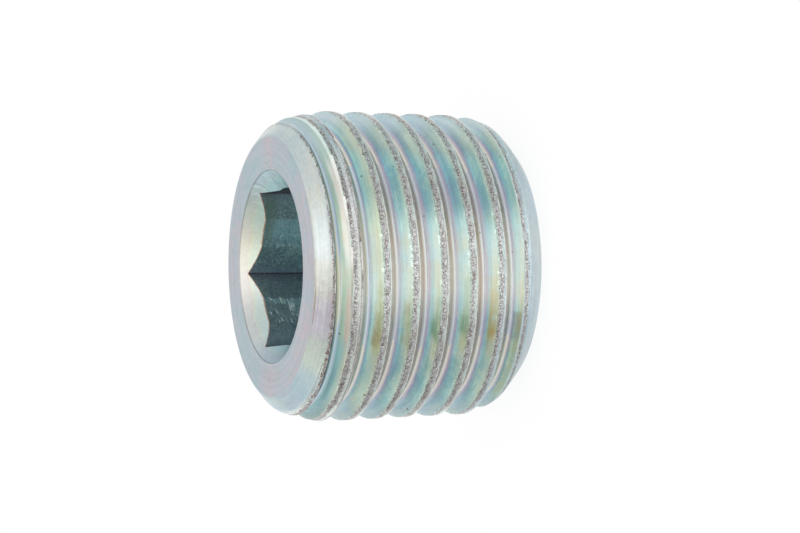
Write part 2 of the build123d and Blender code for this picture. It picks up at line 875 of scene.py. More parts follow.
class SocketEdge(Effect):
    """How far a point on the countersink lies from the opening of the hexagon and its drilled hole."""

    name = "socket_edge"
    takes = {"Millimetres": "Vector", "Radius": "Float"}
    gives = {"Distance": "Float"}
    apothem = TurnedBlank.hex_across_flats / 2
    drilled_radius = TurnedBlank.pilot_radius + 0.006

    @classmethod
    def build(cls, graph: Graph, given: dict[str, Field]) -> dict[str, Value]:
        """Builds the group.

        Args:
            graph: The material's tree.
            given: The group's inputs by name.

        Returns:
            A value for each output.
        """
        x, y, _ = graph.split(given["Millimetres"])
        nearest: Value = 0.0
        for turn in (math.pi / 6, math.pi / 2, 5 * math.pi / 6):
            reach = y * math.sin(turn) + x * math.cos(turn)
            nearest = graph.math("MAXIMUM", nearest, abs(reach))
        flats = nearest - cls.apothem
        drilled = given["Radius"] - cls.drilled_radius
        return {"Distance": graph.math("MINIMUM", flats, drilled)}


class PlateGrain(Effect):
    """The fine crystal grain of the plating, round 1, and its height."""

    name = "plate_grain"
    takes = {"Millimetres": "Vector", "Amount": "Float"}
    gives = {"Value": "Float", "Height": "Float"}

    @classmethod
    def build(cls, graph: Graph, given: dict[str, Field]) -> dict[str, Value]:
        """Builds the group.

        Args:
            graph: The material's tree.
            given: The group's inputs by name.

        Returns:
            A value for each output.
        """
        fine = graph.noise(given["Millimetres"], 17, 3, 0.7)
        broad = graph.noise(given["Millimetres"], 5.5, 3, 0.6, 4.0)
        away = fine * 0.6 + broad * 0.4 - 0.5
        return {"Value": away * given["Amount"] + 1.0, "Height": fine}


class TinyPits(Effect):
    """A mask of scattered dark pits, each a few hundredths of a millimetre wide."""

    name = "tiny_pits"
    takes = {"Millimetres": "Vector", "Share": "Float"}
    gives = {"Mask": "Float"}

    @classmethod
    def build(cls, graph: Graph, given: dict[str, Field]) -> dict[str, Value]:
        """Builds the group.

        Args:
            graph: The material's tree.
            given: The group's inputs by name.

        Returns:
            A value for each output.
        """
        distance, (choice, width, _) = graph.cells(given["Millimetres"], 2.1)
        chosen = graph.math("LESS_THAN", choice, given["Share"])
        size = width * 0.05 + 0.035
        return {"Mask": chosen * distance.spread(size + 0.03, size)}


class TornGrain(Effect):
    """The broken grain of torn metal: light and dark specks a few hundredths of a millimetre wide."""

    name = "torn_grain"
    takes = {"Millimetres": "Vector", "Stretched": "Vector"}
    gives = {"Value": "Float", "Color": "Color"}
    stops = [
        (0.36, tint(108, 96, 88)),
        (0.43, tint(150, 144, 140)),
        (0.5, tint(180, 180, 180)),
        (0.57, tint(206, 208, 208)),
        (0.65, tint(246, 247, 245)),
    ]

    @classmethod
    def build(cls, graph: Graph, given: dict[str, Field]) -> dict[str, Value]:
        """Builds the group.

        Args:
            graph: The material's tree.
            given: The group's inputs by name.

        Returns:
            A value for each output.
        """
        fine = graph.noise(given["Millimetres"], 30, 1, 0.9, 3.0)
        coarse = graph.noise(given["Stretched"], 5, 3, 0.7)
        _, (chips, _, _) = graph.cells(given["Millimetres"], 24)
        both: Value = 0.5
        for part, amount in ((fine, 0.36), (coarse, 0.2), (chips, 0.17)):
            both += (part - 0.5) * amount
        return {"Value": both, "Color": graph.ramp(both, cls.stops)}


class FilmColour(Effect):
    """The passivation film's colours, from its thin lilac to its thick gold and rose."""

    name = "film_colour"
    takes = {"Thickness": "Float"}
    gives = {"Color": "Color"}
    stops = [
        (0.0, tint(224, 222, 234)),
        (0.12, tint(203, 218, 235)),
        (0.28, tint(203, 234, 239)),
        (0.44, tint(226, 248, 244)),
        (0.58, tint(238, 249, 238)),
        (0.74, tint(234, 243, 210)),
        (0.88, tint(216, 216, 164)),
        (1.0, tint(216, 186, 150)),
    ]

    @classmethod
    def build(cls, graph: Graph, given: dict[str, Field]) -> dict[str, Value]:
        """Builds the group."""
        return {"Color": graph.ramp(given["Thickness"], cls.stops)}


@dataclass(frozen=True)
class Finish:
    """One surface of the zinc plate. Each kind paints itself over this common base.

    Attributes:
        name: The material's name.
        roughness: How dull the metal is, before its own noise.
        grain: How much the plate's crystals vary its colour.
        bump: Height of the relief, in millimetres.
        pit_share: Share of the scattered points that are dark pits.
        edge_tint: Colour of the metal at a low angle.
    """

    name: str = "zinc"
    roughness: float = 0.3
    grain: float = 0.12
    bump: float = 0.0008
    pit_share: float = 0.0
    edge_tint: Colour = WHITE

    def paint(self, graph: Graph, place: Place) -> Surface:
        """Builds the surface's own colour, roughness and height.

        Args:
            graph: The material's tree.
            place: Where a point lies on the plug.

        Returns:
            Colour, roughness, and height in units of the bump distance.
        """
        raise NotImplementedError

    def material(self) -> bpy.types.Material:
        """Builds the material.

        Returns:
            The material.
        """
        made = bpy.data.materials.new(self.name)
        made.use_nodes = True
        graph = Graph(made.node_tree)
        shader = self.shader(graph)
        shader.inputs["Metallic"].default_value = 1.0
        shader.inputs["Specular Tint"].default_value = self.edge_tint
        place = Place.find(graph)
        grain = PlateGrain.use(graph, Millimetres=place.millimetres, Amount=self.grain)
        colour, roughness, height = self.paint(graph, place)
        graph.feed(shader.inputs["Base Color"], graph.shade(colour, grain["Value"]))
        graph.feed(shader.inputs["Roughness"], roughness)
        relief = graph.node("ShaderNodeBump")
        relief.inputs["Strength"].default_value = 1.0
        relief.inputs["Distance"].default_value = self.bump * MM
        graph.feed(relief.inputs["Height"], height + grain["Height"])
        graph.feed(shader.inputs["Normal"], Field(graph, relief.outputs["Normal"]))
        return made

    @staticmethod
    def shader(graph: Graph) -> bpy.types.Node:
        """Gives the material's own shader."""
        return graph.tree.nodes["Principled BSDF"]

    def pitted(self, graph: Graph, place: Place, colour: Field) -> Field:
        """Puts dark pits on a colour."""
        pits = TinyPits.use(graph, Millimetres=place.millimetres, Share=self.pit_share)
        return graph.mix(pits["Mask"] * 0.8, colour, tint(70, 62, 58))

    @staticmethod
    def torn(graph: Graph, place: Place) -> tuple[Field, Field]:
        """Gives the grain of torn metal and its colour."""
        grit = TornGrain.use(graph, Millimetres=place.millimetres, Stretched=place.stretched)
        return grit["Value"], grit["Color"]


@dataclass(frozen=True)
class GrooveDrift:
    """What the parts of the groove's finish share.

    Attributes:
        broad: The broadest noise.
        blot: Noise of the size of a stain.
        streak: Noise that runs with the thread.
        light: Where highlights are painted: the bright sectors of a turn, 1 in their middle.
    """

    broad: Field
    blot: Field
    streak: Field
    light: Field


@dataclass(frozen=True)
class GrooveFinish(Finish):
    """Flanks and root of the thread, burnished, with the film thickest towards the crests."""

    name: str = "zinc_groove"
    roughness: float = 0.27
    grain: float = 0.14
    pooling: float = 0.05
    gold_turn: float = -0.066
    # Turn beyond which the root carries a warm painted reflection.
    warm_turn: float = 0.108
    # Turn of a pale painted highlight on the outer flank.
    pale_turn: float = 0.165
    pit_share: float = 0.42

    def paint(self, graph: Graph, place: Place) -> Surface:
        """Builds the front flank's film, the root, and the painted light, shade and marks over both.

        Args:
            graph: The material's tree.
            place: Where a point lies on the plug.

        Returns:
            Colour, roughness, and height in units of the bump distance.
        """
        drift = GrooveDrift(
            broad=graph.noise(place.stretched, 0.45, 3, 0.6, 1.3),
            blot=graph.noise(place.stretched, 1.1, 3, 0.6, 8.0),
            streak=graph.noise(place.along, 1.3, 3, 0.6, 2.0),
            light=place.wave.spread(0.3, 1.0),
        )
        front = self._first(graph, place, self._front(graph, place, drift), drift.broad)
        colour = graph.mix(place.phase.spread(-0.1, -0.05), front, self._root(graph, place, drift))
        colour = graph.shade(colour, (drift.streak - 0.5) * 0.3 + 1.0)
        colour = self._sectors(graph, place, colour)
        colour = self._marks(graph, place, colour, drift)
        colour = self.pitted(graph, place, colour)
        return colour, drift.broad * 0.1 + (self.roughness - 0.05), drift.streak

    def _thickness(self, graph: Graph, place: Place, drift: GrooveDrift) -> Field:
        """Gives the film's thickness, greatest near the crests and over the gold sector.

        Args:
            graph: The material's tree.
            place: Where a point lies on the plug.
            drift: What the parts of this finish share.

        Returns:
            The thickness, as FilmColour takes it.
        """
        cloud = graph.noise(place.millimetres, 6.0, 3, 0.7, 4.4)
        thick = place.phase.spread(-0.08, -0.17) * 0.27
        thick += graph.math("MAXIMUM", -0.17 - place.phase, 0.0)
        for part, amount in ((drift.broad, 0.5), (cloud, 0.3), (drift.streak, 0.24)):
            thick += (part - 0.5) * amount
        thick -= place.side * 0.06
        thick -= place.rise * self.pooling
        thick += place.height.spread(4.6, 6.4) * 0.16
        thick += place.height.spread(2.1, 1.6) * 0.1
        # Painted highlight: the film turns yellower along a band in the lit sectors.
        painted_highlight_patch = drift.light * place.phase.band(-0.28, 0.02, 0.06) * drift.blot.spread(0.36, 0.56)
        thick += painted_highlight_patch * 0.15
        wide = place.around.band(self.gold_turn, 0.03, 0.04) * place.phase.spread(-0.14, -0.28)
        return thick + wide * (1.0 - place.height.spread(1.9, 1.7) * 0.7) * 0.17

    def _gold(self, graph: Graph, place: Place, drift: GrooveDrift) -> Field:
        """Gives the mask of the gold stains, gathered in one sector and fading at the last turn.

        Args:
            graph: The material's tree.
            place: Where a point lies on the plug.
            drift: What the parts of this finish share.

        Returns:
            The mask.
        """
        apart = graph.noise(place.millimetres, 0.8, 2, 0.5, 5.0)
        last = place.height.spread(2.9, 2.6)
        faded = place.height.spread(1.9, 1.7)
        moved = (apart - 0.5) * (0.24 - last * 0.2) + place.around
        pool = moved.band(self.gold_turn, 0.012, 0.05) * place.phase.spread(-0.14, -0.22)
        spotted = drift.broad + drift.blot * 0.5 + (last - faded) * 0.22
        return pool * spotted.spread(0.64, 0.9) * (1.0 - faded * 0.8)

    def _front(self, graph: Graph, place: Place, drift: GrooveDrift) -> Field:
        """Paints the socket-side flank's film, stained gold and pale at its brim, with painted light and
        shade.

        Args:
            graph: The material's tree.
            place: Where a point lies on the plug.
            drift: What the parts of this finish share.

        Returns:
            The flank's colour.
        """
        film = FilmColour.use(graph, Thickness=self._thickness(graph, place, drift))["Color"]
        stain = graph.mix(place.height.spread(4.7, 5.1), tint(188, 219, 202), tint(212, 208, 180))
        stain = graph.mix(place.height.spread(2.9, 2.6), stain, tint(230, 214, 166))
        film = graph.mix(self._gold(graph, place, drift) * 0.8, film, stain)
        # Painted highlight: the film pales in the lit sectors.
        film = graph.mix(drift.light * 0.3, film, tint(232, 255, 247))
        # Painted highlight: a pale patch in one upper sector of the outer flank.
        top = place.around.band(self.pale_turn, 0.02, 0.05) * place.phase.spread(-0.14, -0.28)
        film = graph.mix(top * 0.5, film, tint(250, 254, 244))
        pale = graph.mix(drift.light, tint(246, 248, 236), tint(228, 254, 242))
        film = graph.mix(place.phase.spread(-0.29, -0.33) * 0.25, film, pale)
        # Painted shade: outside the lit sectors the film is darkened by its own colour, most towards the
        # crest.
        depth = place.phase.spread(-0.24, -0.12) * 0.2 + 0.86
        front = graph.shade(film, graph.mix(drift.light, graph.shade(film, depth), WHITE))
        blush = place.phase.band(-0.1, 0.02, 0.035) * drift.blot.spread(0.4, 0.6)
        blush *= place.height.spread(6.0, 5.4)
        return graph.mix(blush * 0.4, front, tint(226, 218, 238))

    def _root(self, graph: Graph, place: Place, drift: GrooveDrift) -> Field:
        """Paints the rounded root: painted highlight in the lit sectors, painted warm reflection to the
        sides.

        Args:
            graph: The material's tree.
            place: Where a point lies on the plug.
            drift: What the parts of this finish share.

        Returns:
            The root's colour.
        """
        # Painted highlight along the root, brightest in the lit sectors.
        root = graph.mix(drift.light, tint(196, 203, 214), tint(202, 208, 215))
        bright = graph.mix(drift.light, tint(184, 184, 190), tint(234, 232, 228))
        bright = graph.mix(place.height.spread(5.5, 6.0) * 0.7, bright, tint(196, 216, 232))
        root = graph.mix(place.phase.spread(-0.05, 0.0), root, bright)
        # Painted reflection: the root turns warm beyond a set turn on either side.
        away = abs(place.around) + (drift.blot - 0.5) * 0.08
        warm = away.spread(self.warm_turn, self.warm_turn + 0.002)
        root = graph.mix(warm * 0.75, root, tint(220, 212, 198))
        middle = place.around.band(-0.038, 0.022, 0.03)
        above = graph.mix(middle, tint(172, 196, 210), tint(206, 212, 196))
        root = graph.mix(place.height.spread(6.7, 6.85) * 0.85, root, above)
        return graph.glaze(root, place.phase.spread(0.03, 0.07), tint(255, 243, 228))

    @staticmethod
    def _sectors(graph: Graph, place: Place, colour: Field) -> Field:
        """Paints shade and highlights where a turn's sectors would reflect the room's dark or bright sides.

        Args:
            graph: The material's tree.
            place: Where a point lies on the plug.
            colour: The colour so far.

        Returns:
            The shaded colour.
        """
        # Painted shade, bluer and stronger on the lower side, where Side is high.
        lower = place.rise.spread(0.5, -0.5)
        reach = place.phase.spread(-0.1, -0.24) + lower * place.phase.spread(0.0, -0.08) * 0.4
        dim = place.side.spread(0.74, 0.95) * graph.math("MINIMUM", reach, 1.0)
        colour = graph.glaze(colour, dim, graph.mix(lower, tint(236, 242, 255), tint(208, 218, 230)))
        # Painted highlight in two sectors, towards the crest.
        lit = abs(place.around).band(0.167, 0.02, 0.03) * place.phase.spread(-0.22, -0.28)
        colour = graph.shade(colour, lit * 0.055 + 1.0)
        # Painted shade in a lower sector, across the middle of the flank.
        low = place.around.band(-0.167, 0.02, 0.03) * place.phase.band(-0.15, 0.03, 0.03)
        colour = graph.glaze(colour, low, tint(242, 239, 243))
        # Painted shade, faintly warm, in a sector just above the middle.
        high = place.around.band(0.062, 0.018, 0.025) * place.phase.spread(-0.06, -0.12)
        colour = graph.glaze(colour, high, tint(251, 243, 242))
        # Painted highlight near the root, in a sector just below the middle.
        near = place.around.band(-0.058, 0.015, 0.02) * place.phase.band(-0.05, 0.03, 0.02)
        return graph.shade(colour, near * 0.1 + 1.0)

    def _marks(self, graph: Graph, place: Place, colour: Field, drift: GrooveDrift) -> Field:
        """Draws the bright scores, the dull sectors, a painted shade band and the frayed edge under the
        crest.

        Args:
            graph: The material's tree.
            place: Where a point lies on the plug.
            colour: The colour so far.
            drift: What the parts of this finish share.

        Returns:
            The marked colour.
        """
        score = drift.streak.band(0.55, 0.004, 0.01) * drift.broad.spread(0.5, 0.56)
        colour = graph.mix(score * 0.5, colour, tint(250, 250, 244))
        dull = place.around.band(-0.112, 0.02, 0.03) * place.phase.spread(-0.18, -0.24)
        colour = graph.glaze(colour, dull, tint(255, 249, 246))
        # Painted shade: a slightly darker band near the crest, just below the middle.
        painted_shade_band = place.around.band(-0.06, 0.015, 0.03) * place.phase.spread(-0.24, -0.3)
        colour = graph.shade(colour, 1.0 - painted_shade_band * 0.045)
        torn, torn_colour = self.torn(graph, place)
        ragged = place.phase + (torn - 0.5) * 0.14 + (drift.blot - 0.5) * 0.05
        frayed = graph.shade(torn_colour, tint(222, 218, 212))
        return graph.mix(ragged.spread(-0.36, -0.372) * 0.7, colour, frayed)

    @staticmethod
    def _first(graph: Graph, place: Place, front: Field, broad: Field) -> Field:
        """Paints the flank under the first turn: cream over the middle, teal and green further down.

        Args:
            graph: The material's tree.
            place: Where a point lies on the plug.
            front: The flank's colour.
            broad: A broad noise.

        Returns:
            The flank's colour with the first turn painted.
        """
        phase = place.phase + (broad - 0.5) * 0.16
        around = place.around
        cream = graph.mix(around.spread(0.095, 0.125), tint(250, 251, 241), tint(212, 234, 224))
        inner = graph.mix(around.spread(0.1, 0.16), tint(194, 222, 206), tint(204, 228, 232))
        upper = graph.mix(phase.spread(-0.14, -0.21), inner, cream)
        lower = graph.mix(phase.spread(-0.18, -0.3), tint(168, 218, 216), tint(206, 224, 208))
        middle = graph.mix(phase.spread(-0.15, -0.21), tint(186, 218, 198), tint(220, 212, 202))
        lower = graph.mix(around.spread(-0.108, -0.085), lower, middle)
        lower = graph.mix(around.spread(-0.045, -0.025), lower, tint(212, 228, 210))
        both = graph.mix(around.spread(-0.03, 0.01), lower, upper)
        return graph.mix(place.height.spread(6.5, 6.66) * 0.9, front, both)


@dataclass(frozen=True)
class RearFinish(Finish):
    """Flank that faces the small end, which turns tan where it is seen at a low angle."""

    name: str = "zinc_rear_flank"
    roughness: float = 0.3
    grain: float = 0.1
    edge_tint: Colour = tint(250, 232, 216)
    tan_turn: float = 0.036
    pit_share: float = 0.1

    def paint(self, graph: Graph, place: Place) -> Surface:
        """Builds the pale warm film, and the torn lip over the first turn of the groove.

        Args:
            graph: The material's tree.
            place: Where a point lies on the plug.

        Returns:
            Colour, roughness, and height in units of the bump distance.
        """
        light = place.wave.spread(0.1, 0.95)
        blot = graph.noise(place.stretched, 1.1, 3, 0.6, 5.0)
        foot = place.phase.spread(0.14, 0.08)
        pale = graph.mix(blot.spread(0.4, 0.6), tint(242, 234, 224), tint(240, 242, 242))
        pale = graph.mix(foot, pale, tint(243, 222, 202))
        # Painted light and shade: the film is pale in the lit sectors and greyer outside them.
        colour = graph.mix(light, graph.mix(foot, tint(208, 208, 208), tint(206, 198, 188)), pale)
        # Painted highlight, tinted cyan, in one upper sector.
        painted_cyan_highlight = place.around.band(0.085, 0.045, 0.02)
        colour = graph.shade(colour, painted_cyan_highlight * (0.16 - foot * 0.06) + 1.0)
        colour = graph.glaze(colour, painted_cyan_highlight, graph.mix(foot, tint(244, 255, 255), tint(242, 246, 240)))
        first = place.height.spread(6.93, 7.0)
        torn, torn_colour = self.torn(graph, place)
        dark = graph.shade(torn_colour, tint(208, 202, 198))
        upper = (place.phase + (torn - 0.5) * 0.3).spread(0.25, 0.28)
        colour = graph.mix(first * upper * 0.5, colour, dark)
        tan = place.around.band(self.tan_turn, 0.02, 0.03) * (place.height.spread(6.2, 5.4) * 0.6 + 0.3)
        edge = graph.mix(tan, self.edge_tint, graph.mix(foot, tint(238, 218, 200), tint(242, 206, 184)))
        edge = graph.mix(blot.spread(0.5, 0.62) * tan, edge, tint(216, 196, 150))
        lining = graph.mix(place.around.spread(-0.03, -0.06), tint(110, 166, 196), tint(116, 130, 164))
        low_angle = graph.mix(first, edge, graph.mix(upper, lining, dark))
        graph.feed(self.shader(graph).inputs["Specular Tint"], low_angle)
        return self.pitted(graph, place, colour), self.roughness, blot


@dataclass(frozen=True)
class CrestFinish(Finish):
    """Torn crest lands: speckled, darkest at the frayed edge that faces the socket, smooth at the rear."""

    name: str = "zinc_crest"
    roughness: float = 0.45
    grain: float = 0.1
    bump: float = 0.0025
    rear_stops = [(0.35, tint(200, 220, 214)), (0.5, tint(208, 214, 213)), (0.65, tint(218, 213, 208))]

    def paint(self, graph: Graph, place: Place) -> Surface:
        """Builds the speckle, the dark edge, the seam and the pale rear band.

        Args:
            graph: The material's tree.
            place: Where a point lies on the plug.

        Returns:
            Colour, roughness, and height in units of the bump distance.
        """
        grains, torn = self.torn(graph, place)
        wander = graph.noise(place.stretched, 1.6, 3, 0.6, 2.0)
        high = place.height.spread(6.2, 6.36)
        across = place.crest + (wander - 0.5) * 0.09
        across -= high * 0.04 + place.height.spread(1.9, 1.5) * 0.05
        rear = across.spread(-0.02, -0.055) * 0.85
        smooth = graph.shade(self._rear_band(graph, place, wander), grains * 1.6 + 0.2)
        colour = graph.mix(rear, torn, smooth)
        edge = across.band(0.055, 0.02, 0.03) * grains.spread(0.52, 0.44)
        colour = graph.mix(edge * 0.6, colour, tint(116, 104, 98))
        brim = across.spread(0.086, 0.112) * wander.spread(0.3, 0.45)
        colour = graph.mix(brim * 0.7, colour, tint(204, 224, 214))
        seam = across.band(-0.062, 0.006, 0.014) * wander.spread(0.42, 0.55)
        lined = place.height.spread(6.85, 6.7)
        colour = graph.mix(seam * 0.6 * lined, colour, tint(112, 108, 106))
        # Painted highlight: a pale line along each crest's rear edge; over the turns near the socket a dark
        # painted shadow line instead.
        rim = place.crest.band(-0.112, 0.008, 0.012) * 0.55 * lined
        colour = graph.mix(rim, colour, graph.mix(high, tint(240, 246, 236), tint(120, 116, 122)))
        colour = graph.glaze(colour, place.rise.band(0.72, 0.12, 0.1), tint(244, 255, 255))
        colour = graph.shade(colour, self._level(place, across, rear))
        return colour, self.roughness - rear * 0.1, grains * (1.0 - rear * 0.6)

    def _rear_band(self, graph: Graph, place: Place, wander: Field) -> Field:
        """Paints the smooth band along the rear edge, whiter at the first turns and bluer at the last.

        Args:
            graph: The material's tree.
            place: Where a point lies on the plug.
            wander: The noise that the bands follow.

        Returns:
            The band's colour.
        """
        smooth = graph.ramp(wander, self.rear_stops)
        top = place.rise.spread(-0.1, 0.1)
        # Painted highlight across the middle of the first turns, with painted shade towards their top.
        inner = graph.mix(place.around.spread(0.03, 0.0), tint(246, 247, 250), tint(229, 230, 222))
        sides = graph.mix(top, tint(232, 242, 236), tint(190, 210, 220))
        white = graph.mix(abs(place.rise).spread(0.6, 0.88), inner, sides)
        smooth = graph.mix(place.height.spread(6.2, 6.36) * 0.7, smooth, white)
        return graph.mix(place.height.spread(1.9, 1.5), smooth, tint(198, 218, 226))

    @staticmethod
    def _level(place: Place, across: Field, rear: Field) -> Field:
        """Gives the painted light and shade of each sector of the crests.

        Args:
            place: Where a point lies on the plug.
            across: Height across the crest land, with its wander.
            rear: The mask of the smooth rear band.

        Returns:
            The level to shade the crests by.
        """
        high = place.height.spread(6.2, 6.36)
        top = abs(place.rise).spread(0.6, 0.88) * place.rise.spread(-0.1, 0.1)
        level = high * rear * (0.08 - top * 0.2) + 0.78
        # Painted shade where the crests face furthest along the Y axis.
        ends = place.rise.spread(-0.6, -0.88) + place.rise.spread(0.86, 0.97)
        level -= ends * (1.0 - rear * 1.15) * 0.13
        level += place.rise.band(0.72, 0.12, 0.1) * 0.03
        level += place.around.band(0.14, 0.05, 0.02) * across.spread(0.03, 0.07) * 0.06
        # Painted highlight in the lit sectors.
        return level + place.wave.spread(0.2, 0.95) * (0.4 - rear * 0.1)


@dataclass(frozen=True)
class FaceFinish(Finish):
    """The faced ends: lilac grey with faint turned rings."""

    name: str = "zinc_face"
    roughness: float = 0.38
    grain: float = 0.1
    bump: float = 0.0012
    pit_share: float = 0.06
    lilac_stops = [
        (0.3, tint(194, 221, 226)),
        (0.45, tint(206, 220, 227)),
        (0.58, tint(216, 217, 226)),
        (0.72, tint(228, 213, 219)),
    ]

    def paint(self, graph: Graph, place: Place) -> Surface:
        """Builds the rings and the slow change of tint.

        Args:
            graph: The material's tree.
            place: Where a point lies on the plug.

        Returns:
            Colour, roughness, and height in units of the bump distance.
        """
        cloud = graph.noise(place.millimetres, 0.45, 4, 0.6, 5.0)
        mottle = graph.noise(place.millimetres, 3.0, 4, 0.7, 2.0)
        colour = graph.ramp(cloud + (mottle - 0.5) * 0.6, self.lilac_stops)
        ring = graph.noise(place.turned, 0.9, 4, 0.65, 4.0)
        fine = graph.noise(place.turned, 2.2, 3, 0.7, 1.0)
        colour = graph.shade(colour, (ring - 0.5) * 0.38 + (mottle - 0.5) * 0.32 + 1.0)
        score = fine.band(0.5, 0.004, 0.008) * mottle.spread(0.5, 0.62)
        colour = graph.mix(score * 0.4, colour, tint(150, 148, 158))
        speck = graph.noise(place.millimetres, 5.0, 2, 0.6, 7.0)
        nick = place.radius.band(3.2, 0.012, 0.03) * speck.spread(0.6, 0.64)
        # Turned lines near the outer edge, painted white as a highlight in one sector.
        painted_highlight_streaks = fine.spread(0.52, 0.56) * place.radius.spread(4.0, 4.2)
        painted_highlight_streaks *= place.around.band(0.05, 0.04, 0.05)
        bright = graph.math("MAXIMUM", nick, painted_highlight_streaks * 0.5)
        colour = graph.mix(bright, colour, tint(246, 248, 248))
        colour = self.pitted(graph, place, colour)
        return colour, self.roughness - 0.06 + mottle * 0.12, ring


@dataclass(frozen=True)
class ChamferFinish(Finish):
    """The turned chamfers and leads, pale with drifting film colour and turned streaks."""

    name: str = "zinc_chamfer"
    roughness: float = 0.33
    grain: float = 0.12
    bump: float = 0.0016
    blush_turn: float = -0.075
    stain_turn: float = -0.062
    pit_share: float = 0.06

    def paint(self, graph: Graph, place: Place) -> Surface:
        """Builds the drift of film colour, its painted light and shade, the turned marks and the torn lip.

        Args:
            graph: The material's tree.
            place: Where a point lies on the plug.

        Returns:
            Colour, roughness, and height in units of the bump distance.
        """
        drift = graph.noise(place.millimetres, 0.4, 4, 0.6, 6.0)
        streak = graph.noise(place.turned, 0.8, 4, 0.65, 2.0)
        fine = graph.noise(place.turned, 2.4, 3, 0.7, 5.0)
        mottle = graph.noise(place.millimetres, 4.0, 4, 0.75, 8.0)
        torn, torn_colour = self.torn(graph, place)
        socket_end = place.height.spread(0.8, 1.5)
        colour = self._film(graph, place, drift, streak, socket_end)
        # Painted shade: bluer and darker towards the lower side, and warmer where the painted highlight is
        # brightest.
        painted_light_tint = graph.mix(place.around.spread(-0.14, -0.2), WHITE, tint(244, 250, 255))
        painted_light_tint = graph.mix(place.around.band(-0.028, 0.012, 0.02), painted_light_tint, tint(253, 247, 240))
        small_end = graph.shade(colour, tint(238, 246, 252))
        colour = graph.mix(socket_end, small_end, graph.shade(colour, painted_light_tint))
        level = (fine - 0.5) * 0.36 + (mottle - 0.5) * 0.3 + 1.02
        colour = graph.shade(colour, level + self._lean(place, socket_end))
        line = streak.band(0.56, 0.003, 0.006) * drift.spread(0.5, 0.6)
        colour = graph.mix(line * 0.15, colour, tint(168, 150, 122))
        # Turned scratch lines painted white as highlights, in the middle sectors near the socket end.
        white = fine.band(0.56, 0.008, 0.012) * mottle.spread(0.45, 0.55)
        white *= place.height.spread(6.0, 7.0) * abs(place.around).spread(0.17, 0.11)
        colour = graph.mix(white * 0.7, colour, tint(252, 252, 248))
        stain = place.radius.band(4.325, 0.008, 0.012) * mottle.spread(0.4, 0.5)
        stain *= place.around.band(self.stain_turn, 0.016, 0.01)
        colour = graph.mix(stain * 0.8, colour, tint(160, 136, 92))
        brown = graph.mix(place.around.spread(-0.05, -0.09), tint(136, 116, 106), tint(132, 98, 82))
        flecks = graph.mix(torn.spread(0.49, 0.43), torn_colour, brown)
        ragged = self._ragged(graph, place, drift, torn)
        colour = graph.mix(ragged * 0.92, colour, graph.shade(flecks, tint(232, 226, 220)))
        colour = self.pitted(graph, place, colour)
        return colour, self.roughness, fine + ragged * torn * 3.0

    def _film(self, graph: Graph, place: Place, drift: Field, streak: Field, socket_end: Field) -> Field:
        """Paints the pale film, its three patches of colour and the first turn's lead.

        Args:
            graph: The material's tree.
            place: Where a point lies on the plug.
            drift: A broad noise.
            streak: Noise in rings.
            socket_end: 1 everywhere but near the small end.

        Returns:
            The film's colour.
        """
        thick = drift.spread(0.25, 0.8, "LINEAR") + (streak - 0.5) * 0.9
        film = FilmColour.use(graph, Thickness=thick * 0.78)["Color"]
        colour = graph.mix(0.5, tint(220, 221, 222), film)
        # Painted highlight: the film turns cream in the lit sectors.
        light = place.wave.spread(0.3, 1.0) * (1.0 - place.side)
        colour = graph.mix(light * 0.34, colour, tint(238, 234, 224))
        turn = place.around + (drift - 0.5) * 0.05
        for step, patch_colour in (
            (0.0, tint(226, 204, 224)),
            (0.045, tint(214, 228, 208)),
            (0.1, tint(194, 220, 226)),
        ):
            patch = turn.band(self.blush_turn - step, 0.012, 0.03) * socket_end
            colour = graph.mix(patch * 0.55, colour, patch_colour)
        lead = place.phase.spread(0.0, -0.1) * place.height.spread(7.4, 7.3)
        lead *= place.height.spread(6.0, 6.4)
        pale = graph.mix(place.around.spread(-0.04, 0.0), tint(208, 214, 204), tint(250, 250, 242))
        pale = graph.mix(place.around.spread(0.1, 0.13), pale, tint(210, 228, 222))
        return graph.mix(lead * 0.85, colour, pale)

    @staticmethod
    def _lean(place: Place, socket_end: Field) -> Field:
        """Gives the painted light and shade of the chamfers: how much lighter or darker each side is.

        Args:
            place: Where a point lies on the plug.
            socket_end: 1 everywhere but near the small end.

        Returns:
            What is added to the level of light.
        """
        around = place.around
        lean = around.spread(-0.035, 0.02) * 0.17 - 0.13
        lean += around.spread(-0.09, -0.14) * 0.17
        lean -= around.band(-0.05, 0.01, 0.03) * 0.08
        lean -= around.spread(-0.18, -0.24) * 0.06
        lean -= around.spread(0.15, 0.2) * 0.05
        lean += around.band(-0.14, 0.06, 0.02) * 0.03
        # Painted shade over the small end's chamfer, deeper away from the middle.
        painted_side_shade = abs(around).spread(0.05, 0.13) * 0.14
        return (lean + painted_side_shade + 0.2) * socket_end - painted_side_shade - 0.2

    @staticmethod
    def _ragged(graph: Graph, place: Place, drift: Field, torn: Field) -> Field:
        """Gives the mask of the torn lip beside the first turn and of the frayed crests' sides.

        Args:
            graph: The material's tree.
            place: Where a point lies on the plug.
            drift: A broad noise.
            torn: The grain of torn metal.

        Returns:
            The mask.
        """
        ragged = place.lip + (drift - 0.5) * 0.2 + (torn - 0.5) * 0.4
        ragged -= place.around.spread(-0.05, -0.08) * 0.045
        first = place.height.spread(6.9, 7.0) * place.phase.spread(0.0, 0.1)
        ragged = ragged.spread(0.09, 0.06) * first
        ragged *= 1.0 - place.around.spread(0.15, 0.2) * 0.6
        side = abs(place.crest) + (torn - 0.5) * 0.2
        side = side.spread(0.19, 0.165) * place.height.band(6.3, 0.5, 0.1)
        return graph.math("MAXIMUM", ragged, side)


